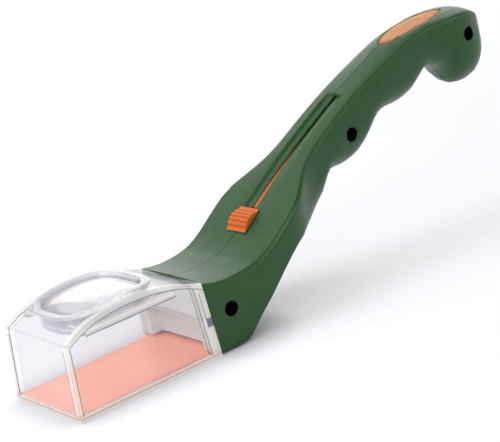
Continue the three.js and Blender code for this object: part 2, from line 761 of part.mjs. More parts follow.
function thumbSlider() {
  const pad = [[-buttonLength, -runningGap], [0, -runningGap]];
  const steps = ribCount * 8;
  const least = runningGap + 0.3;
  for (let i = 0; i <= steps; i++) {
    const share = i / steps;
    const arch = buttonHigh * Math.sin(Math.PI * share);
    const valley = ribHeight * (1 - Math.sqrt(Math.abs(Math.sin(Math.PI * ribCount * share))));
    pad.push([-buttonLength * share, -Math.max(least, arch - valley)]);
  }
  const body = alongY(pad.map(([s, depth]) => track(s, depth)), -buttonHalf, buttonHalf);
  const [stemStart, stemEnd] = [stemMiddle - stemLength / 2, stemMiddle + stemLength / 2];
  const stem = trackBar(stemStart, stemEnd, -1, stripFoot + 0.5, stemHalf);
  const barb = trackBar(stemStart, stemEnd, stripFoot + 0.2, stripFoot + 1.2, 1.5);
  return joined(body, stem, barb);
}

// The fin closes the slit behind the button. Its end dips, to run in under the palm rest
function finDepth(s) {
  const share = THREE.MathUtils.clamp((s - carriageEnd) / finLength, 0, 1);
  return finTop + finDip * share + finDive * share ** 6;
}

function rivetHoles(radius, upper, lower) {
  return Object.values(rivetPlaces).map((s) => {
    const [x, z] = track(s, (upper + lower) / 2);
    const geometry = new THREE.CylinderGeometry(radius, radius, lower - upper, 16);
    geometry.rotateX(Math.PI / 2);
    geometry.rotateY(-slopeAngle(s));
    geometry.translate(x, 0, z);
    return solidOf(geometry);
  });
}

function slopeAngle(s) {
  const [x0, z0] = track(s - 0.5, 0);
  const [x1, z1] = track(s + 0.5, 0);
  return Math.atan2(z1 - z0, x1 - x0);
}

function stemHole(upper, lower) {
  const half = stemLength / 2 + gap;
  return trackBar(stemMiddle - half, stemMiddle + half, upper, lower, stemHalf + gap);
}

function sliderCarriage() {
  const plate = trackBar(carriageStart, carriageEnd, carriageTop, carriageFoot, carriageHalf);
  const fin = trackBar(carriageEnd - 1, carriageEnd + finLength, finDepth,
    (s) => finDepth(s) + finHeight, finHalf, 4);
  let solid = plate.add(fin).subtract(stemHole(carriageTop - 1, carriageFoot + 1));
  rivetHoles(rivetRadius + gap, carriageTop - 1, carriageFoot + 1).forEach((hole) => {
    solid = solid.subtract(hole);
  });
  rivetHoles(rivetHead + gap, carriageTop - 1, carriageTop + 0.9).forEach((hole) => {
    solid = solid.subtract(hole);
  });
  return solid;
}

const stripStart = carriageStart - 4;

function drawStrip() {
  let solid = trackBar(stripStart, carriageEnd, stripTop, stripFoot, webHalf);
  solid = solid.subtract(stemHole(stripTop - 1, stripFoot + 1));
  rivetHoles(rivetRadius + gap, stripTop - 1, stripFoot + 1).forEach((hole) => {
    solid = solid.subtract(hole);
  });
  return solid;
}

// Rivet: its axis along Z, the upper head's top at the origin
function stripRivet() {
  const upper = 0.6;
  const length = stripFoot - carriageTop;
  const foot = 0.7;
  const under = -length - 0.3;
  const profile = [
    [0, -0.15], [rivetHead, -0.15], [rivetHead, -0.15 - upper], [rivetRadius, -0.15 - upper],
    [rivetRadius, under], [rivetHead, under], [rivetHead * 0.7, under - foot], [0, under - foot],
  ];
  const geometry = new THREE.LatheGeometry(profile.reverse().map(([r, z]) => new THREE.Vector2(r, z)), 14);
  geometry.rotateX(Math.PI / 2);
  return solidOf(geometry);
}

// Trap door: a flexible sheet that lies in the base frame's groove

const doorMiddle = (ledgeHeight + wallFoot) / 2;
const doorFront = frameRim + gap;

function trapDoor() {
  const rear = behind(doorTail);
  const shape = new THREE.Shape();
  shape.moveTo(rear, -doorHalf).lineTo(rear, doorHalf);
  shape.absarc(doorFront + doorCorner, doorHalf - doorCorner, doorCorner, Math.PI / 2, Math.PI);
  shape.absarc(doorFront + doorCorner, doorCorner - doorHalf, doorCorner, Math.PI, 1.5 * Math.PI);
  return alongZ(shape, doorMiddle - doorThick / 2, doorMiddle + doorThick / 2, 6);
}

// The way of the sheet from the chamber's floor up to the slider
const bendStart = new THREE.Vector2(behind(doorTail) + gap, doorMiddle);
const bendEnd = new THREE.Vector2(...track(stripStart - gap, (stripTop + stripFoot) / 2));
const bendAway = new THREE.Vector2(Math.cos(slopeAngle(stripStart)), Math.sin(slopeAngle(stripStart)));
const bend = new THREE.CubicBezierCurve(
  bendStart,
  new THREE.Vector2(bendStart.x + 15, doorMiddle),
  bendEnd.clone().addScaledVector(bendAway, -12),
  bendEnd,
);

// A layer along the bend between two offsets from its middle line
function bendLayer(from, to, below, above, half, steps) {
  const rings = Array.from({ length: steps + 1 }, (_, i) => {
    const t = from + (to - from) * i / steps;
    const p = bend.getPointAt(t);
    const d = bend.getTangentAt(t);
    const at = (offset, y) => new THREE.Vector3(p.x - d.y * offset, y, p.y + d.x * offset);
    return [at(below, -half), at(below, half), at(above, half), at(above, -half)];
  });
  return loft(rings);
}

function doorWeb() {
  return bendLayer(0, 1, -doorThick / 2, doorThick / 2, webHalf, 16);
}

function guideRamp(from, to, below, above) {
  return bendLayer(from, to, below, above, farSide, 12).intersect(handleCavity(shellWall + gap));
}

const doorSkin = doorThick / 2;
const lowerRamp = () => guideRamp(0.24, 0.8, -doorSkin - guideGap - rampThick, -doorSkin - guideGap);
const upperRamp = () => guideRamp(0.0, 0.74, doorSkin + guideGap, doorSkin + guideGap + rampThick);

// Assembly

const housing = new THREE.Group();
housing.add(
  meshOf('chamber_body', chamberBody(), clear, 0.08, 0.35),
  meshOf('chamber_base_frame', chamberBaseFrame(), clear, 0.1, 0.5),
  meshOf('lens_collar', lensCollar(), clear, 0.06, 0.5),
  meshOf('magnifier_lens', magnifierLens(), clear, 0.03, 0.35),
  meshOf('rear_bulkhead', rearBulkhead(), 0xc9cdd0, 0.4),
  meshOf('guide_ramp_lower', lowerRamp(), 0xb9bec2, 0.5),
  meshOf('guide_ramp_upper', upperRamp(), 0xb9bec2, 0.5),
  meshOf('handle_shell_left', shell(-1), green, 0.45),
  meshOf('handle_shell_right', shell(1), green, 0.45),
  meshOf('grip_inlay', gripInlay(), 0xd9985c, 0.5),
  meshOf('door_web', doorWeb(), orange, 0.45),
);

Object.entries(screwPlaces).forEach(([name, [x, z]]) => {
  const screw = meshOf(`shell_screw_${name}`, shellScrew(), 0x8d9094, 0.35);
  screw.position.set(x, -bossSeat - seatThick - 0.1, z);
  housing.add(screw);
});

const slider = new THREE.Group();
slider.add(
  meshOf('thumb_slider', thumbSlider(), orange, 0.45),
  meshOf('slider_carriage', sliderCarriage(), orange, 0.45),
  meshOf('draw_strip', drawStrip(), orange, 0.45),
);

Object.entries(rivetPlaces).forEach(([name, s]) => {
  const [x, z] = track(s, carriageTop);
  const rivet = meshOf(`strip_rivet_${name}`, stripRivet(), 0xb8bcc0, 0.3);
  rivet.position.set(x, 0, z);
  rivet.rotation.y = -slopeAngle(s);
  slider.add(rivet);
});

const door = new THREE.Group();
door.add(meshOf('trap_door', trapDoor(), orange, 0.45));

const bugViewer = new THREE.Group();
bugViewer.add(housing, slider, door);
bugViewer.position.x = -pommelEnd / 2;

export default bugViewer;
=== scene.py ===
"""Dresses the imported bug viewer: plastics, lens, sheet and screws, on a plain white stage."""

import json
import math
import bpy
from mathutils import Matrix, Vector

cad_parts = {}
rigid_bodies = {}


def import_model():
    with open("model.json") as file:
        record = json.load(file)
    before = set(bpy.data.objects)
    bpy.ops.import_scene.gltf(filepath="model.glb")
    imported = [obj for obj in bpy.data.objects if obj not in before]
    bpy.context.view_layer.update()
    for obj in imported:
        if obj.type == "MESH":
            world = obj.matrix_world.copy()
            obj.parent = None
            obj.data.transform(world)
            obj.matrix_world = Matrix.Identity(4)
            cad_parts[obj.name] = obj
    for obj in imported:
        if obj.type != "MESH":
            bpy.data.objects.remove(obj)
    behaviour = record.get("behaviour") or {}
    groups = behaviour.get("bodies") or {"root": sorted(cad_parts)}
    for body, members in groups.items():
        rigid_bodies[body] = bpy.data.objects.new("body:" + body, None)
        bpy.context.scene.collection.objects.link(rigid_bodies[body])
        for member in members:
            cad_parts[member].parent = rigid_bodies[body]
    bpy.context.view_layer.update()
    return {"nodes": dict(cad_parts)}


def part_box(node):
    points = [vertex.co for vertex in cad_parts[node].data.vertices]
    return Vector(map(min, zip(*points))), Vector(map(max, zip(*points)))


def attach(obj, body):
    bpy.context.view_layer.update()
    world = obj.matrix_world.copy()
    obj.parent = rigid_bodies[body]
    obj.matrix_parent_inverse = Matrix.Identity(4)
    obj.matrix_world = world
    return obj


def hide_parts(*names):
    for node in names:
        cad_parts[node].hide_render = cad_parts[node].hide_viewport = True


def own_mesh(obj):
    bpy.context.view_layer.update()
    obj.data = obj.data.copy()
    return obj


bl_info = {
    "name": "Bug Viewer",
    "version": (1, 0, 0),
    "blender": (4, 5, 0),
    "location": "View3D > Sidebar > Bug Viewer",
    "description": "Builds the finished pieces of a hand-held bug viewer round its frame",
    "category": "Object",
}

import bpy
from mathutils import Matrix, Vector

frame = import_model()

MM = 0.001
BLACK = (0.0, 0.0, 0.0)

# The clear chamber: how far its walls lean in for each unit of height
FRONT_LEAN = 0.048
REAR_LEAN = 0.0763
SIDE_LEAN = 0.0395

# The chamber's arched roof: five places behind the front foot, each with its height there
ROOF_ARCH = (
    (1.6 * MM, 35.3 * MM),
    (14.0 * MM, 41.2 * MM),
    (33.0 * MM, 44.3 * MM),
    (54.0 * MM, 43.1 * MM),
    (77.3 * MM, 35.8 * MM),
)

# The ramp that follows the arch: its length, its lowest height, the rise that it covers, its steps
ARCH_LENGTH = 80.0 * MM
ARCH_LOW = 30.0 * MM
ARCH_RISE = 16.0 * MM
ARCH_STEPS = 16

# The milky bands along the chamber's edges, painted light in place of the light bent in the plastic's
# thickness: how far they reach, and how softly they end
FRONT_BAND = 1.9 * MM
REAR_BAND = 6.0 * MM
SIDE_BAND = 3.0 * MM
ROOF_BAND = 2.6 * MM
BAND_SOFTNESS = 0.2 * MM

# The bead on each side wall: the middle and half of its length, its height, half its thickness,
# and how far it is lifted from its place in the frame
BEAD_MIDDLE = 37.0 * MM
BEAD_REACH = 24.6 * MM
BEAD_HEIGHT = 37.3 * MM
BEAD_HALF = 1.3 * MM
BEAD_LIFT = 1.6 * MM

# What still counts as the outer skin of a side wall
SKIN = 0.05 * MM

# Lines and narrow bands: half their width, and how softly they end
EDGE_LINE = (0.25 * MM, 0.15 * MM)
BEAD_BAND = (1.4 * MM, 0.3 * MM)
BEAD_LINE = (0.3 * MM, 0.2 * MM)
SLOT_LINE = (0.35 * MM, 0.15 * MM)
REAR_LINE = (0.5 * MM, 0.3 * MM)
FOOT_LINE = (0.17 * MM, 0.1 * MM)
# Painted shade along the alcove's arch
ALCOVE_SHADE_LINE = (0.5 * MM, 0.4 * MM)
# Painted shade along the seam
SEAM_SHADE_LINE = (0.2 * MM, 0.08 * MM)

# The rim right at an edge of the chamber, a painted dark line that is only faintly darker
RIM_LINE = (0.5 * MM, 0.3 * MM)
RIM_STRENGTH = 0.4

# The slot line in the chamber's side: how far from the rear edge, its middle, half its length
# and how softly it ends
SLOT_PLACE = 3.2 * MM
SLOT_MIDDLE = 26.0 * MM
SLOT_REACH = 6.5 * MM
SLOT_SOFTNESS = 0.3 * MM

# The warm lines: how far from the rear edge the upright one is, and how far the one on the
# front corner reaches from the front and from the side, its top, and how softly these end
REAR_LINE_PLACE = REAR_BAND - 0.3 * MM
CORNER_LINE_FRONT = 0.3 * MM
CORNER_LINE_SIDE = 0.4 * MM
CORNER_LINE_SOFTNESS = 0.15 * MM
CORNER_LINE_TOP = 26.0 * MM
CORNER_LINE_FADE = 3.0 * MM
CORNER_LINE_STRENGTH = 0.7

# The sheet's edge as it shows in the clear foot, painted as warm lines that glow: how far below the foot's
# top
FOOT_LINE_DEPTHS = (0.4 * MM, 1.15 * MM)

# How milky the clear plastics are: walls, bands, lines, foot, the lens and its collar
VEIL = 0.18
BAND_MILK = 0.7
LINE_MILK = 0.5
FOOT_MILK = 0.7
LENS_MILK = 0.16
COLLAR_MILK = 0.3

# Painted glow that the clear plastic gives off at its edges, in place of light carried through its thickness
PAINTED_GLOW = 0.22
FOOT_PAINTED_GLOW = 0.4

# Flat walls are half see-through and hardly move what is seen through them, and the lens does
THIN_OPACITY = 0.5
THIN_IOR = 1.02
LENS_IOR = 1.46

# The share of a lamp's light that goes straight through the clear plastics
SHADOW_SHARE = 0.85

# The painted shade line along the arched edge of the bulkhead's alcove: its height in the middle, and its
# bend
ALCOVE_HEIGHT = 20.3 * MM
ALCOVE_BEND = 1.2 * MM / (22.0 * MM) ** 2

# How far from the middle the bulkhead's tabs begin
TAB_START = 25.0 * MM

# The screw holes, dark inside with painted shade: how far that painted shade reaches from their axis, how
# softly it ends in square metres, and the place along Y that they lie beyond
SCREWS = ("front", "middle", "rear")
HOLE_SHADE_RADIUS = 3.56 * MM
HOLE_SHADE_SOFTNESS = 0.4 * MM ** 2
HOLE_SHADE_START = -4.0 * MM

# The seam between the two shells: the gap on each side of the middle, as packed and as it shows
SEAM_PACKED = 0.15 * MM
SEAM_SHOWN = 0.04 * MM
# How strongly the seam's painted shade darkens it
SEAM_SHADE_STRENGTH = 0.8

# The carriage's fin gets painted shade between these shares of its length, where it lies deeper in the slot
FIN_PAINTED_SHADE = (0.3, 0.8)

# The wavy ridges of the palm inlay: from crest to crest, how deep, how far and how often they
# sway, and how long a piece of ridge is between two cuts
RIDGE_PITCH = 2.4 * MM
RIDGE_DEPTH = 0.45 * MM
RIDGE_SWAY = 0.6 * MM
RIDGE_WAVE = 13.0 * MM
RIDGE_CUT = 2.2 * MM

# In squares of the oval's own radius: where the ridges end, how quickly their sway settles
# towards there, and where their two colours (the paler a painted highlight) and the dark edge of painted
# shade begin, each with its softness
RIDGE_END = 0.9
RIDGE_SETTLE = 4
INLAY_RING = (0.74, 0.05)
INLAY_EDGE_SHADE = (0.88, 0.04)

# A corner of the inlay whose normal has more than this share upwards is on its top
FACING_UP = 0.5

# Flat walls that are joined into one face each: all, or only those that don't face sideways
ALL_WALLS = 1.1
NOT_SIDES = 0.6

# How close corners are merged, how many degrees still count as flat, and how strongly large
# faces lead the shading
MERGE_DISTANCE = 0.002 * MM
FLAT_ANGLE = 0.4
AREA_WEIGHT = 50

# The camera's sensor width, in millimetres
SENSOR_WIDTH = 36.0

# The lamps: width, place, and the point that each is turned to
LAMPS = {
    "key": (0.7, (-0.45, 0.2, 0.85), (0.0, 0.0, 0.05)),
    "fill": (0.6, (-0.75, -0.45, 0.35), (0.0, 0.0, 0.05)),
    "rim": (1.2, (0.57, 0.68, 0.30), (0.0, 0.0, 0.06)),
}

# The floor: its width, how far it is below the object, how much light it adds to what looks at
# it, how far the object darkens it, and where it turns into the backdrop, and how softly
FLOOR_WIDTH = 6.0
FLOOR_DROP = 0.2 * MM
FLOOR_GLOW = 0.31
SHADE_REACH = 22.0 * MM
FLOOR_END = (0.45, 0.2)


# Values and shaders


class Value:
    """An output of a shader node. Arithmetic on it adds Math nodes."""

    def __init__(self, finish, socket):
        self.finish = finish
        self.socket = socket

    def __add__(self, other):
        return self.finish.maths("ADD", self, other)

    def __sub__(self, other):
        return self.finish.maths("SUBTRACT", self, other)

    def __rsub__(self, other):
        return self.finish.maths("SUBTRACT", other, self)

    def __mul__(self, other):
        return self.finish.maths("MULTIPLY", self, other)

    __radd__ = __add__
    __rmul__ = __mul__


class Finish:
    """A material, or the world, whose shader is written as expressions on values."""

    def __init__(self, name, kind="materials"):
        self.owner = getattr(bpy.data, kind).new(name)
        self.owner.use_nodes = True
        self.tree = self.owner.node_tree
        self.tree.nodes.clear()

    def add(self, kind, settings=None, inputs=None, output=0):
        """Adds a node, sets it up, feeds its inputs and returns one of its outputs."""
        node = self.tree.nodes.new(kind)
        for name, value in (settings or {}).items():
            if name == "stops":
                self._set_stops(node.color_ramp, value)
            else:
                setattr(node, name, value)
        for name, value in (inputs or {}).items():
            self._feed(node.inputs[name], value)
        return Value(self, node.outputs[output]) if node.outputs else None

    def _feed(self, socket, value):
        if isinstance(value, Value):
            self.tree.links.new(value.socket, socket)
        else:
            socket.default_value = value

    @staticmethod
    def _set_stops(ramp, stops):
        while len(ramp.elements) < len(stops):
            ramp.elements.new(1.0)
        for element, (place, level) in zip(ramp.elements, stops):
            element.position = place
            element.color = (level, level, level, 1.0)

    def maths(self, operation, first, second=0.0, clamped=False):
        settings = {"operation": operation, "use_clamp": clamped}
        return self.add("ShaderNodeMath", settings, {0: first, 1: second})

    def clamp(self, value):
        return self.maths("ADD", value, clamped=True)

    def gap(self, value, centre=0.0):
        """How far a value is from a centre."""
        return self.maths("ABSOLUTE", value - centre)

    def sine(self, value):
        return self.maths("SINE", value)

    def place(self):
        """The point on the surface, in metres."""
        return self.add("ShaderNodeTexCoord", output="Object")

    def axes(self):
        """X, Y and Z of the point on the surface."""
        node = self.add("ShaderNodeSeparateXYZ", inputs={0: self.place()}).socket.node
        return [Value(self, socket) for socket in node.outputs]

    def noise(self, size, detail=2.0, stretch=(1.0, 1.0, 1.0)):
        """Soft noise from 0 to 1 with patches of about that size, in metres."""
        scaled_place = self.add(
            "ShaderNodeVectorMath", {"operation": "MULTIPLY"},
            {0: self.place(), 1: [share / size for share in stretch]})
        return self.add("ShaderNodeTexNoise", inputs={"Vector": scaled_place, "Scale": 1.0, "Detail": detail})

    def ramp(self, value, *stops):
        """A curve through stops, each a place from 0 to 1 and its level."""
        return self.add("ShaderNodeValToRGB", {"stops": stops}, {"Fac": value})

    def fade(self, value, edge, softness):
        """1 below the edge and 0 above it, with a soft step that reaches that far to both sides."""
        return self.add("ShaderNodeMapRange", {"interpolation_type": "SMOOTHSTEP"}, {
            "Value": value,
            "From Min": edge - softness,
            "From Max": edge + softness,
            "To Min": 1.0,
            "To Max": 0.0,
        })

    def stripe(self, value, centre, half, softness):
        """1 within half a width of the centre and 0 beyond it, with soft edges."""
        return self.fade(self.gap(value, centre), half, softness)

    def blend(self, share, first, second):
        """A colour between two others."""
        # The Mix node takes its two colours in sockets 6 and 7, and gives the result in socket 2
        return self.add("ShaderNodeMix", {"data_type": "RGBA"},
                        {"Factor": share, 6: opaque(first), 7: opaque(second)}, output=2)

    def bump(self, height, depth, strength):
        return self.add("ShaderNodeBump", inputs={"Height": height, "Distance": depth, "Strength": strength})

    def plain(self, inputs):
        """The plain surface shader with these inputs."""
        return self.add("ShaderNodeBsdfPrincipled", inputs=inputs)

    def mix(self, share, first, second):
        """A shader between two others."""
        return self.add("ShaderNodeMixShader", inputs={0: share, 1: first, 2: second})

    def surfaced(self, shader):
        """The material, with this shader on its output."""
        self.add("ShaderNodeOutputMaterial", inputs={"Surface": shader})
        return self.owner


def opaque(colour):
    """A colour with full alpha. A value from another node is left alone."""
    if isinstance(colour, Value):
        return colour
    return (colour[0], colour[1], colour[2], 1.0)


def scaled(colour, share):
    """A colour made darker or paler."""
    return [share * part for part in colour]


# Sizes and colours that a user would change


def colour_property(name, description, default):
    return bpy.props.FloatVectorProperty(
        name=name, description=description, subtype="COLOR", size=3, min=0.0, max=1.0, default=default)


def angle_property(name, description, default):
    return bpy.props.FloatProperty(
        name=name, description=description, subtype="ANGLE", unit="ROTATION", default=math.radians(default))


def power_property(name, description, default):
    return bpy.props.FloatProperty(
        name=name, description=description, subtype="POWER", default=default, min=0.0)


class ViewSettings(bpy.types.PropertyGroup):
    """Where the camera stands and what it sees."""

    place: bpy.props.FloatVectorProperty(
        name="Place", description="The camera's place", subtype="TRANSLATION", unit="LENGTH",
        default=(-0.45315, -0.5935, 0.2718))
    yaw: angle_property("Yaw", "Turn of the view from +Y towards +X", 36.172)
    pitch: angle_property("Pitch", "How far the view looks down", 17.126)
    roll: angle_property("Roll", "Turn of the camera about its view", -11.087)
    focal_length: bpy.props.FloatProperty(
        name="Focal length", description="In millimetres, on a sensor 36 mm wide", default=115.07)


class StageSettings(bpy.types.PropertyGroup):
    """The floor, the background and the lamps."""

    backdrop: colour_property("Backdrop", "Colour of the background", (1.0, 1.0, 1.0))
    floor: colour_property("Floor", "Colour of the floor", (0.80, 0.80, 0.83))
    shadow: colour_property("Shadow", "Colour of the floor right beside the object", (0.34, 0.34, 0.38))
    sky: colour_property("Sky", "Colour of the light from all round", (0.97, 0.98, 1.0))
    daylight: bpy.props.FloatProperty(
        name="Daylight", description="Strength of the light from all round", default=0.5, min=0.0)
    key: power_property("Key", "Power of the large lamp over the chamber", 3.7)
    fill: power_property("Fill", "Power of the lamp beside the camera", 2.3)
    rim: power_property("Rim", "Power of the lamp behind the handle", 2.3)


class PlasticSettings(bpy.types.PropertyGroup):
    """Colours of the plastics."""

    green: colour_property("Green", "Handle shells", (0.019, 0.081, 0.021))
    # Painted shade inside the screw holes and along the seam
    hole_painted_shade: colour_property("Hole", "Inside of the screw holes, and the seam", (0.002, 0.003, 0.002))
    orange: colour_property("Orange", "Slider and its carriage", (0.74, 0.165, 0.024))
    # Painted shade: the fin's colour where it lies deep in the slot
    shaded: colour_property("Shaded orange", "Carriage's fin where it lies deep", (0.03, 0.006, 0.003))
    sheet: colour_property("Sheet", "Trap door's sheet", (1.0, 0.385, 0.25))
    grey: colour_property("Grey", "Bulkhead and guides", (0.69, 0.79, 0.79))
    tab: colour_property("Tab", "Bulkhead's tabs in the chamber's windows", (0.17, 0.22, 0.31))
    # Painted shade along the alcove's overhanging arched edge
    alcove: colour_property("Alcove line", "Arched edge of the bulkhead's alcove", (0.2, 0.2, 0.21))
    tan: colour_property("Tan", "Inlay of the palm rest", (0.56, 0.22, 0.055))
    # Painted highlight on the crests of the inlay's ridges
    tan_crest_highlight: colour_property("Tan crest", "Crests of the inlay's ridges", (0.82, 0.45, 0.26))
    clear: colour_property("Clear", "Tint of the clear plastic", (0.97, 0.975, 0.98))
    # Painted light and shade of the chamber's edges, as seen through the plastic's thickness
    milky: colour_property("Milky", "Clear plastic seen through its thickness", (0.80, 0.80, 0.81))
    cream: colour_property("Cream", "Warmer streaks of the milky edges", (0.74, 0.70, 0.61))
    veil: colour_property("Veil", "Faint haze of the chamber's walls and the lens", (0.55, 0.54, 0.68))
    line: colour_property("Edge line", "Fine line along the chamber's edges", (0.2, 0.2, 0.22))
    slot: colour_property("Slot line", "Slot and warm lines in the chamber's side", (0.36, 0.25, 0.19))
    # Painted reflection of the sheet's edge in the foot, with its painted glow
    warm_line: colour_property("Warm line", "Sheet's edge as it shows in the foot", (0.50, 0.20, 0.07))
    foot_painted_glow: colour_property("Foot glow", "Light that the foot gathers from the sheet", (1.0, 0.92, 0.88))


class MetalSettings(bpy.types.PropertyGroup):
    """Colours of the screws and the rivets."""

    # Painted shade: the screws' steel is darkened almost to black for the shade deep in their holes
    steel: colour_property("Steel", "Shell screws", (0.006, 0.006, 0.007))
    worn_steel: colour_property("Worn steel", "Shell screws where they are worn", (0.02, 0.02, 0.022))
    rivet: colour_property("Rivet", "Rivets of the draw strip", (0.48, 0.49, 0.5))
    worn_rivet: colour_property("Worn rivet", "Rivets where they are worn", (0.62, 0.63, 0.64))


# Finishes


def green_plastic(plastics):
    """Satin moulded plastic, slightly cloudy, with a fine grain.

    It has painted shade inside the screw holes and along the seam between the shells."""
    finish = Finish("green_plastic")
    x, y, z = finish.axes()
    holes = 0.0
    for place in SCREWS:
        low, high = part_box(f"shell_screw_{place}")
        across = x - (low.x + high.x) / 2
        up = z - (low.z + high.z) / 2
        holes = finish.fade(across * across + up * up, HOLE_SHADE_RADIUS ** 2, HOLE_SHADE_SOFTNESS) + holes
    shade_in_hole = finish.clamp(holes) * finish.fade(y, HOLE_SHADE_START, 1.0 * MM)
    seam = finish.stripe(y, 0.0, *SEAM_SHADE_LINE)
    clouds = finish.noise(22 * MM, 3.0)
    satin = finish.plain({
        "Base Color": finish.blend(clouds, scaled(plastics.green, 0.90), scaled(plastics.green, 1.10)),
        "Roughness": 0.33 + 0.08 * finish.noise(6 * MM),
        "Normal": finish.bump(finish.noise(0.5 * MM), 0.02 * MM, 0.5),
        "Specular IOR Level": 0.33,
    })
    # Painted shade: a flat dark stands in for the shade deep in the holes and in the seam's gap
    dark = finish.add("ShaderNodeBsdfDiffuse", inputs={"Color": opaque(plastics.hole_painted_shade)})
    return finish.surfaced(finish.mix(finish.clamp(shade_in_hole + SEAM_SHADE_STRENGTH * seam), satin, dark))


def orange_plastic(name, plastics, painted_shade_span=None):
    """Satin orange plastic, slightly cloudy, with painted shade between two places along X if given."""
    finish = Finish(name)
    clouds = finish.noise(9 * MM, 3.0)
    colour = finish.blend(clouds, scaled(plastics.orange, 0.88), plastics.orange)
    if painted_shade_span:
        first, last = painted_shade_span
        # Painted shade along the fin, where it lies deeper in the slot
        lit = finish.fade(finish.axes()[0], (first + last) / 2, (last - first) / 2)
        colour = finish.blend(lit, plastics.shaded, colour)
    return finish.surfaced(finish.plain({
        "Base Color": colour,
        "Roughness": 0.32 + 0.08 * finish.noise(3 * MM),
        "Normal": finish.bump(finish.noise(0.4 * MM), 0.015 * MM, 0.4),
        "Specular IOR Level": 0.25,
    }))


def sheet_plastic(plastics):
    """The flexible sheet of the trap door, with a faint grain along its way."""
    finish = Finish("sheet_plastic")
    clouds = finish.noise(16 * MM)
    drawn = finish.noise(1.2 * MM, stretch=(0.08, 1.0, 1.0))
    return finish.surfaced(finish.plain({
        "Base Color": finish.blend(clouds, scaled(plastics.sheet, 0.95), plastics.sheet),
        "Roughness": 0.45 + 0.08 * drawn,
        "Normal": finish.bump(drawn, 0.02 * MM, 0.3),
    }))


def clear_shader(finish, plastics, ior, opacity):
    """Polished clear plastic, faintly scuffed: a glossy skin over what bends light by its index."""
    scuffs = finish.ramp(finish.noise(1.6 * MM, 4.0, stretch=(0.3, 1.0, 1.0)), (0.45, 0.0), (0.75, 1.0))
    return finish.plain({
        "Base Color": opaque(plastics.clear),
        "Roughness": 0.02 + 0.05 * scuffs,
        "IOR": ior,
        "Transmission Weight": 1.0,
        "Coat Weight": 1.0,
        "Coat Roughness": 0.03,
        "Alpha": opacity,
    })


def milky_shader(finish, colour, glow, opacity, painted_glow_strength):
    """Painted light: what shows where the eye looks along a wall of clear plastic, through its thickness,
    with a painted glow.
    """
    return finish.plain({
        "Base Color": opaque(colour),
        "Roughness": 0.25,
        "Alpha": opacity,
        "Emission Color": opaque(glow),
        "Emission Strength": painted_glow_strength,
    })


def with_faint_shadow(finish, shader):
    """Lets most of a lamp's light through, as clear plastic does, and leaves a faint shadow."""
    to_lamp = finish.add("ShaderNodeLightPath", output="Is Shadow Ray")
    through = finish.add("ShaderNodeBsdfTransparent")
    return finish.mix(SHADOW_SHARE * to_lamp, shader, through)


def lens_plastic(name, plastics, milkiness):
    """Thick clear plastic with the same share of milky light all over."""
    finish = Finish(name)
    clear = clear_shader(finish, plastics, LENS_IOR, 1.0)
    milky = milky_shader(finish, plastics.veil, BLACK, 0.5, PAINTED_GLOW)
    return finish.surfaced(with_faint_shadow(finish, finish.mix(milkiness, clear, milky)))


def foot_plastic(plastics):
    """The clear foot: painted milky, with the sheet's edge painted in it as two fine warm lines that glow."""
    finish = Finish("foot_plastic")
    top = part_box("chamber_base_frame")[1].z
    z = finish.axes()[2]
    # Painted reflection: the sheet's edge as two warm lines
    lines = finish.clamp(sum(finish.stripe(z, top - depth, *FOOT_LINE) for depth in FOOT_LINE_DEPTHS))
    cream = finish.blend(finish.noise(9 * MM), plastics.milky, plastics.cream)
    colour = finish.blend(lines, cream, plastics.warm_line)
    glow = finish.blend(lines, plastics.foot_painted_glow, BLACK)
    clear = clear_shader(finish, plastics, THIN_IOR, THIN_OPACITY)
    milky = milky_shader(finish, colour, glow, 0.7 + 0.25 * lines, FOOT_PAINTED_GLOW)
    milkiness = finish.clamp(FOOT_MILK + (1.0 - FOOT_MILK) * lines)
    return finish.surfaced(finish.mix(milkiness, clear, milky))


def arch_at(x):
    """The height of the roof's arch at x, on the smooth curve through its five points."""
    total = 0.0
    for i, (place, height) in enumerate(ROOF_ARCH):
        term = height
        for j, (other, _) in enumerate(ROOF_ARCH):
            if i != j:
                term *= (x - other) / (place - other)
        total += term
    return total


def roof_height(finish, x):
    """The height of the arched roof at x, as a ramp along its smooth curve."""
    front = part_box("chamber_body")[0].x
    curve = []
    for i in range(ARCH_STEPS + 1):
        share = i / ARCH_STEPS
        curve.append((share, (arch_at(share * ARCH_LENGTH) - ARCH_LOW) / ARCH_RISE))
    along = finish.add("ShaderNodeMapRange", inputs={
        "Value": x,
        "From Min": front,
        "From Max": front + ARCH_LENGTH,
        "To Min": 0.0,
        "To Max": 1.0,
    })
    return ARCH_LOW + ARCH_RISE * finish.ramp(along, *curve)


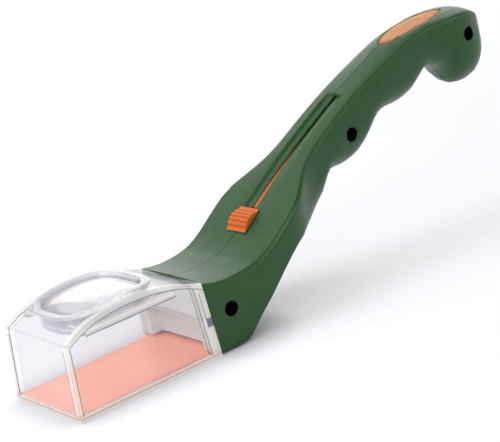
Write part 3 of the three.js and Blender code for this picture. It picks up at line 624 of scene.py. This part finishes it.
def chamber_plastic(plastics):
    """Clear plastic under a faint veil, whose edges show as cream bands of painted light that glow, in place
    of the light bent in its thickness.

    Fine grey lines of painted shade run along the bands and under the beads, and warm ones along the rear
    band and the front corners. The slot line lies in the rear band."""
    finish = Finish("chamber_plastic")
    low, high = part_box("chamber_body")
    x, y, z = finish.axes()
    front = x - low.x - FRONT_LEAN * z
    rear = high.x - REAR_LEAN * z - x
    side = high.y - SIDE_LEAN * z - finish.gap(y)
    roof = roof_height(finish, x) - z
    foot = z - low.z

    by_front = finish.fade(front, FRONT_BAND, BAND_SOFTNESS)
    by_rear = finish.fade(rear, REAR_BAND, BAND_SOFTNESS)
    by_side = finish.fade(side, SIDE_BAND, BAND_SOFTNESS)
    by_roof = finish.fade(roof, ROOF_BAND, BAND_SOFTNESS)
    below_roof = 1.0 - by_roof
    along_bead = finish.stripe(x, low.x + BEAD_MIDDLE, BEAD_REACH, BAND_SOFTNESS)
    bead = finish.clamp(along_bead * finish.stripe(z, BEAD_HEIGHT, *BEAD_BAND))
    band = (by_front + by_rear + by_roof) * by_side + bead

    line_front = finish.stripe(front, FRONT_BAND, *EDGE_LINE) * below_roof
    line_roof = finish.stripe(roof, ROOF_BAND, *EDGE_LINE) * (1.0 - by_front)
    line_side = finish.stripe(side, SIDE_BAND, *EDGE_LINE) * below_roof
    line_bead = finish.stripe(z, BEAD_HEIGHT - BEAD_HALF, *BEAD_LINE) * along_bead
    rim_front, rim_roof, rim_foot = [finish.fade(depth, *RIM_LINE) for depth in (front, roof, foot)]
    rim = rim_front * (rim_roof + rim_foot) + rim_foot * by_side
    line = (line_front + line_roof + line_bead) * by_side + line_side * by_front + RIM_STRENGTH * rim

    warm_rear = finish.stripe(rear, REAR_LINE_PLACE, *REAR_LINE) * by_side * below_roof
    warm_corner = (
        finish.fade(front, CORNER_LINE_FRONT, CORNER_LINE_SOFTNESS)
        * finish.fade(side, CORNER_LINE_SIDE, CORNER_LINE_SOFTNESS)
        * finish.fade(z, CORNER_LINE_TOP, CORNER_LINE_FADE)
    )
    warm = finish.clamp(warm_rear + CORNER_LINE_STRENGTH * warm_corner)
    along_slot = finish.stripe(z, SLOT_MIDDLE, SLOT_REACH, SLOT_SOFTNESS)
    slot = finish.stripe(rear, SLOT_PLACE, *SLOT_LINE) * by_side * along_slot

    # Painted light: glowing cream bands along the edges, and painted shade in the dark lines
    cream = finish.blend(finish.noise(9 * MM), plastics.milky, plastics.cream)
    colour = finish.blend(finish.clamp(band), plastics.veil, cream)
    colour = finish.blend(slot, colour, plastics.slot)
    colour = finish.blend(warm, colour, plastics.slot)
    colour = finish.blend(finish.clamp(line), colour, plastics.line)
    glow = finish.blend(finish.clamp(band - line - slot - warm), BLACK, cream)
    opacity = finish.clamp(THIN_OPACITY + 0.4 * line + 0.2 * band)
    clear = clear_shader(finish, plastics, THIN_IOR, THIN_OPACITY)
    milky = milky_shader(finish, colour, glow, opacity, PAINTED_GLOW)
    milkiness = finish.clamp(BAND_MILK * band + LINE_MILK * line + VEIL)
    return finish.surfaced(with_faint_shadow(finish, finish.mix(milkiness, clear, milky)))


def grey_plastic(plastics):
    """Satin pale grey, with a painted shade line along the alcove's arch, and dark on the tabs in the
    windows.
    """
    finish = Finish("grey_plastic")
    _, y, z = finish.axes()
    inside = finish.fade(finish.gap(y), TAB_START, 0.2 * MM)
    # Painted shade line along the alcove's arch
    arch = finish.stripe(z + ALCOVE_BEND * y * y, ALCOVE_HEIGHT, *ALCOVE_SHADE_LINE)
    clouded = finish.blend(finish.noise(12 * MM), scaled(plastics.grey, 0.93), plastics.grey)
    arched = finish.blend(0.5 * arch, clouded, plastics.alcove)
    return finish.surfaced(finish.plain({
        "Base Color": finish.blend(inside, plastics.tab, arched),
        "Roughness": 0.45 + 0.1 * finish.noise(2 * MM),
        "Normal": finish.bump(finish.noise(0.5 * MM), 0.015 * MM, 0.4),
    }))


def tan_plastic(plastics):
    """Soft inlay: a warm tan, paler on the crests of its wavy ridges as a painted highlight, with a deeper
    edge of painted shade.
    """
    finish = Finish("tan_plastic")
    low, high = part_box("grip_inlay")
    x, y, _ = finish.axes()
    along = (x - (low.x + high.x) / 2) * (2 / (high.x - low.x))
    across = y * (2 / (high.y - low.y))
    reach = along * along + across * across
    ring = 1.0 - finish.fade(reach, *INLAY_RING)
    edge = 1.0 - finish.fade(reach, *INLAY_EDGE_SHADE)
    sway = finish.sine(x * (math.tau / RIDGE_WAVE)) * RIDGE_SWAY
    waves = finish.sine((y - sway) * (math.tau / RIDGE_PITCH) + math.pi / 2)
    # Painted highlight: paler crests, where the ridges catch the light
    ridged = finish.blend(0.5 + 0.5 * waves, plastics.tan, plastics.tan_crest_highlight)
    ringed = finish.blend(ring, ridged, plastics.tan)
    return finish.surfaced(finish.plain({
        # Painted shade: the dark edge stands in for the shadow in the inlay's pocket gap
        "Base Color": finish.blend(edge, ringed, scaled(plastics.tan, 0.35)),
        "Roughness": 0.55,
        "Normal": finish.bump(finish.noise(0.5 * MM), 0.02 * MM, 0.5),
        "Specular IOR Level": 0.25,
    }))


def worn_metal(name, size, fresh, worn, roughness):
    """Metal with soft patches of wear of about that size, which are paler and rougher."""
    finish = Finish(name)
    wear = finish.noise(size, 3.0)
    smoothest, roughest = roughness
    return finish.surfaced(finish.plain({
        "Base Color": finish.blend(wear, fresh, worn),
        "Metallic": 1.0,
        "Roughness": smoothest + (roughest - smoothest) * wear,
    }))


# Modelling helpers


def deselect():
    for thing in bpy.context.view_layer.objects.selected:
        thing.select_set(False)


def make_active(piece):
    deselect()
    piece.select_set(True)
    bpy.context.view_layer.objects.active = piece


def merged_copy(node, name, angle, joined=0.0):
    """A copy of a node's mesh with its corners merged, smooth except at edges sharper than angle.

    Flat walls whose normal's share along Y is below joined become one face each, so that they
    shade evenly up to their edges."""
    piece = bpy.data.objects.new(name, frame["nodes"][node].data.copy())
    bpy.context.scene.collection.objects.link(piece)
    make_active(piece)
    bpy.ops.object.mode_set(mode="EDIT")
    bpy.ops.mesh.select_all(action="SELECT")
    bpy.ops.mesh.remove_doubles(threshold=MERGE_DISTANCE)
    bpy.ops.mesh.select_all(action="DESELECT")
    bpy.ops.mesh.select_mode(type="FACE")
    bpy.ops.object.mode_set(mode="OBJECT")
    for face in piece.data.polygons:
        face.select = abs(face.normal.y) < joined
    bpy.ops.object.mode_set(mode="EDIT")
    bpy.ops.mesh.dissolve_limited(angle_limit=math.radians(FLAT_ANGLE))
    bpy.ops.object.mode_set(mode="OBJECT")
    smooth(piece, angle, "FACE_AREA" if joined == ALL_WALLS else "FACE_AREA_WITH_ANGLE")
    return piece


def smooth(piece, angle, weights):
    """Shades a piece smooth except at edges sharper than angle, with its large faces leading."""
    make_active(piece)
    bpy.ops.object.shade_smooth_by_angle(angle=math.radians(angle))
    bpy.ops.object.modifier_add(type="WEIGHTED_NORMAL")
    modifier = piece.modifiers[-1]
    modifier.mode = weights
    modifier.keep_sharp = True
    modifier.weight = AREA_WEIGHT
    bpy.ops.object.modifier_apply(modifier=modifier.name)


def dress(piece, material, body, node):
    """Gives a piece its finish and its body, and hides the node that it stands for."""
    piece.data.materials.clear()
    piece.data.materials.append(material)
    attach(piece, body)
    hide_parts(node)


# Stage


def camera_turn(view):
    """The camera's turn as a matrix: its right, its up and its back."""
    forward = Vector((
        math.sin(view.yaw) * math.cos(view.pitch),
        math.cos(view.yaw) * math.cos(view.pitch),
        -math.sin(view.pitch),
    ))
    level = Vector((math.cos(view.yaw), -math.sin(view.yaw), 0.0))
    upright = level.cross(forward)
    right = math.cos(view.roll) * level + math.sin(view.roll) * upright
    up = math.cos(view.roll) * upright - math.sin(view.roll) * level
    return Matrix((right, up, -forward)).transposed()


def place_camera(view):
    camera = bpy.data.cameras.new("camera")
    camera.lens = view.focal_length
    camera.sensor_width = SENSOR_WIDTH
    holder = bpy.data.objects.new("camera", camera)
    holder.matrix_world = Matrix.Translation(Vector(view.place)) @ camera_turn(view).to_4x4()
    bpy.context.scene.collection.objects.link(holder)
    bpy.context.scene.camera = holder


def place_lamp(name, power, width, place, target):
    """A round lamp of that width, turned to its target."""
    lamp = bpy.data.lights.new(name, "AREA")
    lamp.shape = "DISK"
    lamp.size = width
    lamp.energy = power
    holder = bpy.data.objects.new(name, lamp)
    holder.location = place
    direction = Vector(target) - Vector(place)
    holder.rotation_euler = direction.to_track_quat("-Z", "Y").to_euler()
    bpy.context.scene.collection.objects.link(holder)


def seen_directly(finish):
    """1 for what the camera, a mirror or clear plastic looks at, 0 for light on a surface."""
    path = finish.add("ShaderNodeLightPath").socket.node
    camera, glossy, through, bounces = [Value(finish, path.outputs[name]) for name in (
        "Is Camera Ray", "Is Glossy Ray", "Is Transmission Ray", "Diffuse Depth")]
    return finish.clamp(camera + glossy + through) * finish.clamp(1.0 - bounces)


def light_the_world(stage):
    """Soft light from all round, and the plain backdrop for what looks straight at it."""
    finish = Finish("daylight", kind="worlds")
    around = finish.add("ShaderNodeBackground", inputs={
        "Color": opaque(stage.sky), "Strength": stage.daylight})
    behind = finish.add("ShaderNodeBackground", inputs={
        "Color": opaque(stage.backdrop), "Strength": 1.0})
    shown = finish.mix(seen_directly(finish), around, behind)
    finish.add("ShaderNodeOutputWorld", inputs={"Surface": shown})
    bpy.context.scene.world = finish.owner


def floor_finish(stage):
    """White paper: its own light lifts what the camera sees to white, outside the shadow.

    Close to the object, where little light gets in, it is darker. Far away it is the backdrop."""
    finish = Finish("paper")
    seen = seen_directly(finish)
    open_air = finish.add(
        "ShaderNodeAmbientOcclusion", {"samples": 8}, {"Distance": SHADE_REACH}, output="AO")
    paper = finish.add("ShaderNodeBsdfDiffuse", inputs={
        "Color": finish.blend(open_air, stage.shadow, stage.floor)})
    glow = finish.add("ShaderNodeEmission", inputs={
        "Color": opaque(stage.backdrop), "Strength": FLOOR_GLOW})
    glowing = finish.add("ShaderNodeAddShader", inputs={0: paper, 1: glow})
    near = finish.mix(seen * open_air, paper, glowing)
    away = finish.add("ShaderNodeEmission", inputs={"Color": opaque(stage.backdrop)})
    distance = finish.add(
        "ShaderNodeVectorMath", {"operation": "LENGTH"}, {0: finish.place()}, output="Value")
    far = 1.0 - finish.fade(distance, *FLOOR_END)
    return finish.surfaced(finish.mix(far * seen, near, away))


class BUGVIEWER_OT_stage(bpy.types.Operator):
    """Set up the camera, the lamps, the background and the floor"""

    bl_idname = "bug_viewer.stage"
    bl_label = "Stage"

    def execute(self, context):
        stage = context.scene.bug_viewer_stage
        context.scene.view_settings.view_transform = "Standard"
        place_camera(context.scene.bug_viewer_view)
        light_the_world(stage)
        for name, (width, place, target) in LAMPS.items():
            place_lamp(name, getattr(stage, name), width, place, target)
        deselect()
        bpy.ops.mesh.primitive_plane_add(size=FLOOR_WIDTH, location=(0.0, 0.0, -FLOOR_DROP))
        floor = context.active_object
        floor.name = "floor"
        bpy.ops.object.transform_apply(location=True, rotation=True, scale=True)
        floor.data.materials.append(floor_finish(stage))
        return {"FINISHED"}


# Pieces of the handle


def close_seam(shell):
    """Brings a shell's parting face almost to the middle, so that no daylight shows through the seam."""
    for corner in shell.data.vertices:
        if abs(corner.co.y) < SEAM_PACKED + 0.01 * MM:
            corner.co.y = math.copysign(SEAM_SHOWN, corner.co.y)


class BUGVIEWER_OT_handle(bpy.types.Operator):
    """Make the two shells of the handle"""

    bl_idname = "bug_viewer.handle"
    bl_label = "Handle shells"

    def execute(self, context):
        material = green_plastic(context.scene.bug_viewer_plastics)
        for side in ("left", "right"):
            node = f"handle_shell_{side}"
            shell = merged_copy(node, f"grip_shell_{side}", angle=32, joined=NOT_SIDES)
            close_seam(shell)
            dress(shell, material, "housing", node)
        return {"FINISHED"}


def cut_along(axis, first, last, step):
    """Cuts the mesh in edit mode by planes across an axis, at even steps from first to last."""
    across = [1.0 if i == axis else 0.0 for i in range(3)]
    place = first
    while place < last:
        centre = [place if i == axis else 0.0 for i in range(3)]
        bpy.ops.mesh.select_all(action="SELECT")
        bpy.ops.mesh.bisect(plane_co=centre, plane_no=across)
        place += step


def ridge_top(inlay):
    """Sinks wavy grooves into the inlay's top, between ridges that run along it."""
    low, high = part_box("grip_inlay")
    rows = math.ceil(high.y / RIDGE_PITCH)
    make_active(inlay)
    bpy.ops.mesh.customdata_custom_splitnormals_clear()
    bpy.ops.object.mode_set(mode="EDIT")
    cut_along(1, -rows * RIDGE_PITCH, high.y, RIDGE_PITCH / 2)
    cut_along(0, low.x + RIDGE_CUT / 2, high.x, RIDGE_CUT)
    bpy.ops.object.mode_set(mode="OBJECT")
    normals = [corner.normal.copy() for corner in inlay.data.vertices]
    for corner, normal in zip(inlay.data.vertices, normals):
        along = (corner.co.x - (low.x + high.x) / 2) * 2 / (high.x - low.x)
        across = corner.co.y / high.y
        inward = RIDGE_END - along ** 2 - across ** 2
        if normal.z > FACING_UP and inward > 0.0:
            wave = math.cos(math.tau * corner.co.y / RIDGE_PITCH)
            corner.co -= normal * RIDGE_DEPTH * (0.5 - 0.5 * wave)
            sway = RIDGE_SWAY * math.sin(math.tau * corner.co.x / RIDGE_WAVE)
            corner.co.y += sway * min(1.0, RIDGE_SETTLE * inward)
    smooth(inlay, 50, "FACE_AREA_WITH_ANGLE")


class BUGVIEWER_OT_inlay(bpy.types.Operator):
    """Make the ridged oval of the palm rest"""

    bl_idname = "bug_viewer.inlay"
    bl_label = "Palm inlay"

    def execute(self, context):
        inlay = merged_copy("grip_inlay", "palm_inlay", angle=40)
        ridge_top(inlay)
        material = tan_plastic(context.scene.bug_viewer_plastics)
        dress(inlay, material, "housing", "grip_inlay")
        return {"FINISHED"}


class BUGVIEWER_OT_fasteners(bpy.types.Operator):
    """Finish the shell screws and the rivets of the draw strip"""

    bl_idname = "bug_viewer.fasteners"
    bl_label = "Screws and rivets"

    def execute(self, context):
        metals = context.scene.bug_viewer_metals
        steel = worn_metal("dark_steel", 1.5 * MM, metals.steel, metals.worn_steel, (0.35, 0.55))
        rivet_metal = worn_metal("bright_metal", 1.0 * MM, metals.rivet, metals.worn_rivet, (0.3, 0.45))
        for place in SCREWS:
            node = f"shell_screw_{place}"
            screw = merged_copy(node, f"screw_{place}", angle=35)
            dress(screw, steel, "housing", node)
        for place in ("front", "rear"):
            node = f"strip_rivet_{place}"
            rivet = merged_copy(node, f"rivet_{place}", angle=35)
            dress(rivet, rivet_metal, "slider", node)
        return {"FINISHED"}


class BUGVIEWER_OT_slider(bpy.types.Operator):
    """Make the ribbed button, its carriage and the strip that it pulls"""

    bl_idname = "bug_viewer.slider"
    bl_label = "Thumb slider"

    def execute(self, context):
        plastics = context.scene.bug_viewer_plastics
        button = merged_copy("thumb_slider", "slider_button", angle=25, joined=ALL_WALLS)
        orange = orange_plastic("orange_plastic", plastics)
        dress(button, orange, "slider", "thumb_slider")
        carriage = merged_copy("slider_carriage", "slider_shoe", angle=35)
        low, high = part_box("slider_carriage")
        painted_shade_span = [low.x + share * (high.x - low.x) for share in FIN_PAINTED_SHADE]
        shoe = orange_plastic("shoe_plastic", plastics, painted_shade_span)
        dress(carriage, shoe, "slider", "slider_carriage")
        strip = merged_copy("draw_strip", "sheet_tongue", angle=35)
        dress(strip, sheet_plastic(plastics), "slider", "draw_strip")
        return {"FINISHED"}


class BUGVIEWER_OT_door(bpy.types.Operator):
    """Make the trap door's sheet and its tongue in the bend"""

    bl_idname = "bug_viewer.door"
    bl_label = "Trap door"

    def execute(self, context):
        material = sheet_plastic(context.scene.bug_viewer_plastics)
        door = merged_copy("trap_door", "door_sheet", angle=35, joined=ALL_WALLS)
        dress(door, material, "door", "trap_door")
        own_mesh(door)
        web = merged_copy("door_web", "sheet_bend", angle=35)
        dress(web, material, "housing", "door_web")
        return {"FINISHED"}


class BUGVIEWER_OT_guides(bpy.types.Operator):
    """Finish the bulkhead and the ramps that turn the sheet"""

    bl_idname = "bug_viewer.guides"
    bl_label = "Bulkhead and guides"

    def execute(self, context):
        grey = grey_plastic(context.scene.bug_viewer_plastics)
        wall = merged_copy("rear_bulkhead", "bulkhead_wall", angle=30, joined=ALL_WALLS)
        dress(wall, grey, "housing", "rear_bulkhead")
        for level in ("lower", "upper"):
            node = f"guide_ramp_{level}"
            ramp = merged_copy(node, f"sheet_guide_{level}", angle=35)
            dress(ramp, grey, "housing", node)
        return {"FINISHED"}


# Pieces of the chamber


def lift_beads(body):
    """Raises the bead on each side wall to where it shows, along the wall's lean."""
    low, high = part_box("chamber_body")
    middle = low.x + BEAD_MIDDLE
    packed_height = BEAD_HEIGHT - BEAD_LIFT
    for corner in body.data.vertices:
        x, y, z = corner.co
        outside = abs(y) > high.y - SIDE_LEAN * z - SKIN
        if outside and abs(x - middle) < BEAD_REACH and abs(z - packed_height) < BEAD_HALF:
            corner.co.z += BEAD_LIFT
            corner.co.y -= math.copysign(SIDE_LEAN * BEAD_LIFT, y)


class BUGVIEWER_OT_chamber(bpy.types.Operator):
    """Make the clear chamber and its base frame"""

    bl_idname = "bug_viewer.chamber"
    bl_label = "Clear chamber"

    def execute(self, context):
        plastics = context.scene.bug_viewer_plastics
        body = merged_copy("chamber_body", "chamber_shell", angle=25, joined=ALL_WALLS)
        lift_beads(body)
        dress(body, chamber_plastic(plastics), "housing", "chamber_body")
        base = merged_copy("chamber_base_frame", "chamber_foot", angle=25, joined=ALL_WALLS)
        dress(base, foot_plastic(plastics), "housing", "chamber_base_frame")
        return {"FINISHED"}


class BUGVIEWER_OT_lens(bpy.types.Operator):
    """Make the magnifying lens and the collar that holds it"""

    bl_idname = "bug_viewer.lens"
    bl_label = "Magnifier"

    def execute(self, context):
        plastics = context.scene.bug_viewer_plastics
        collar = merged_copy("lens_collar", "lens_rim", angle=60)
        rim = lens_plastic("rim_plastic", plastics, COLLAR_MILK)
        dress(collar, rim, "housing", "lens_collar")
        lens = merged_copy("magnifier_lens", "viewing_lens", angle=40)
        acrylic = lens_plastic("lens_acrylic", plastics, LENS_MILK)
        dress(lens, acrylic, "housing", "magnifier_lens")
        return {"FINISHED"}


# The add-on


STEPS = ("stage", "handle", "inlay", "fasteners", "slider", "door", "guides", "chamber", "lens")

SETTINGS = {
    "bug_viewer_view": ViewSettings,
    "bug_viewer_stage": StageSettings,
    "bug_viewer_plastics": PlasticSettings,
    "bug_viewer_metals": MetalSettings,
}


class BUGVIEWER_PT_panel(bpy.types.Panel):
    """Lists the steps that build the bug viewer"""

    bl_idname = "BUGVIEWER_PT_panel"
    bl_label = "Bug Viewer"
    bl_space_type = "VIEW_3D"
    bl_region_type = "UI"
    bl_category = "Bug Viewer"

    def draw(self, context):
        for step in STEPS:
            self.layout.operator(f"bug_viewer.{step}")
        for group in SETTINGS:
            box = self.layout.box()
            owner = getattr(context.scene, group)
            for name in SETTINGS[group].__annotations__:
                box.prop(owner, name)


CLASSES = (
    ViewSettings,
    StageSettings,
    PlasticSettings,
    MetalSettings,
    BUGVIEWER_OT_stage,
    BUGVIEWER_OT_handle,
    BUGVIEWER_OT_inlay,
    BUGVIEWER_OT_fasteners,
    BUGVIEWER_OT_slider,
    BUGVIEWER_OT_door,
    BUGVIEWER_OT_guides,
    BUGVIEWER_OT_chamber,
    BUGVIEWER_OT_lens,
    BUGVIEWER_PT_panel,
)


def register():
    for item in CLASSES:
        bpy.utils.register_class(item)
    for name, group in SETTINGS.items():
        setattr(bpy.types.Scene, name, bpy.props.PointerProperty(type=group))


def unregister():
    for name in SETTINGS:
        delattr(bpy.types.Scene, name)
    for item in reversed(CLASSES):
        bpy.utils.unregister_class(item)


def main():
    register()
    for step in STEPS:
        getattr(bpy.ops.bug_viewer, step)()


if __name__ == "__main__":
    main()
